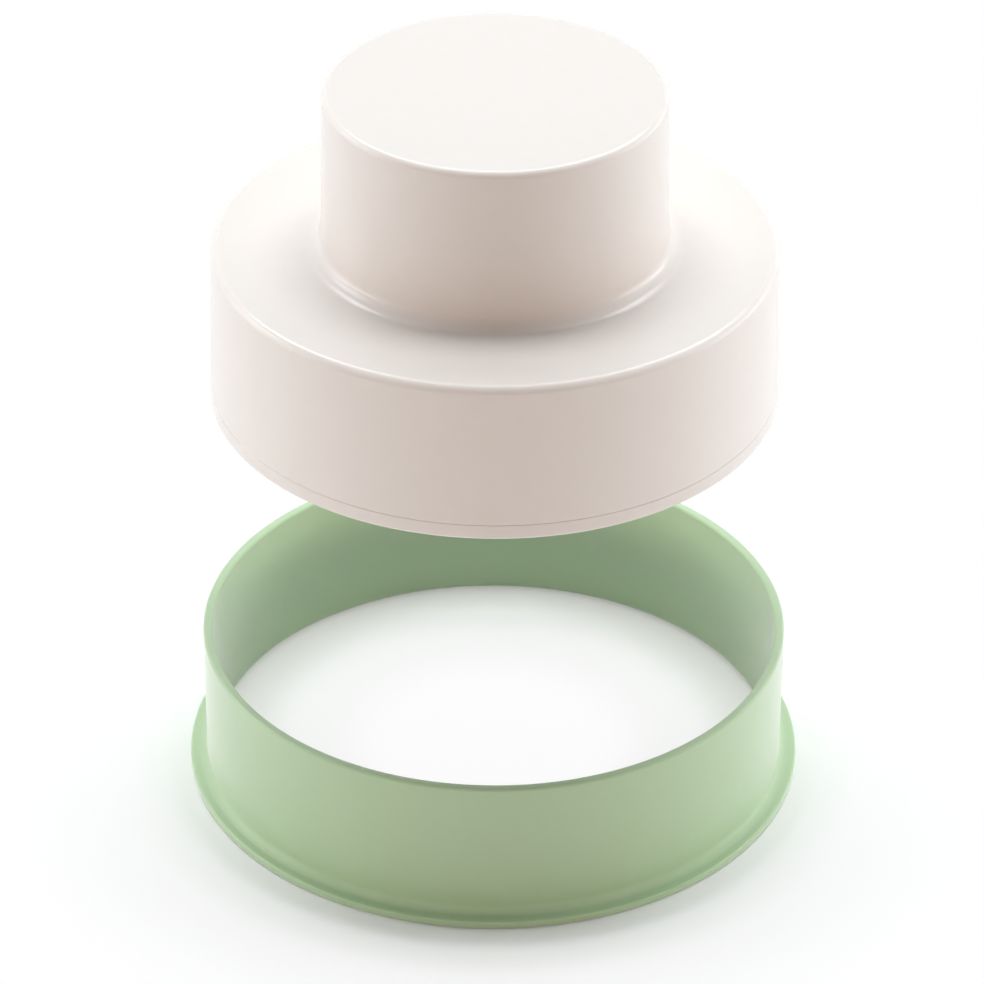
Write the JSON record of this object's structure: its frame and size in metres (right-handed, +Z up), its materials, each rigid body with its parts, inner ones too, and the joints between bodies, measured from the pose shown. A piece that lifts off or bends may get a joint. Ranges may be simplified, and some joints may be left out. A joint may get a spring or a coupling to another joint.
{
  "type": "burger press",
  "caption": "Burger press: a hollow round plunger with a palm knob and a flat pressing plate slides down into a flanged forming ring to shape a patty.",
  "frame": {"origin": "centre of the forming ring's foot, on the table", "axes": "+Z up along the common axis of the ring and the press; the object is round, so +X and +Y are free, with the pictured side facing -Y"},
  "size_m": [0.1204, 0.1204, 0.1465],
  "materials": {
    "sage_plastic": "satin moulded plastic, sage green",
    "cream_plastic": "glossy moulded plastic, warm off-white"
  },
  "bodies": {
    "ring": {"forming_ring": "sage_plastic"},
    "press": {"press_shell": "cream_plastic", "press_plate": "cream_plastic"}
  },
  "joints": [
    {"name": "press_slide", "type": "slide", "parent": "ring", "child": "press", "axis": [0, 0, 1], "range_m": [-0.0835, 0]}
  ]
}
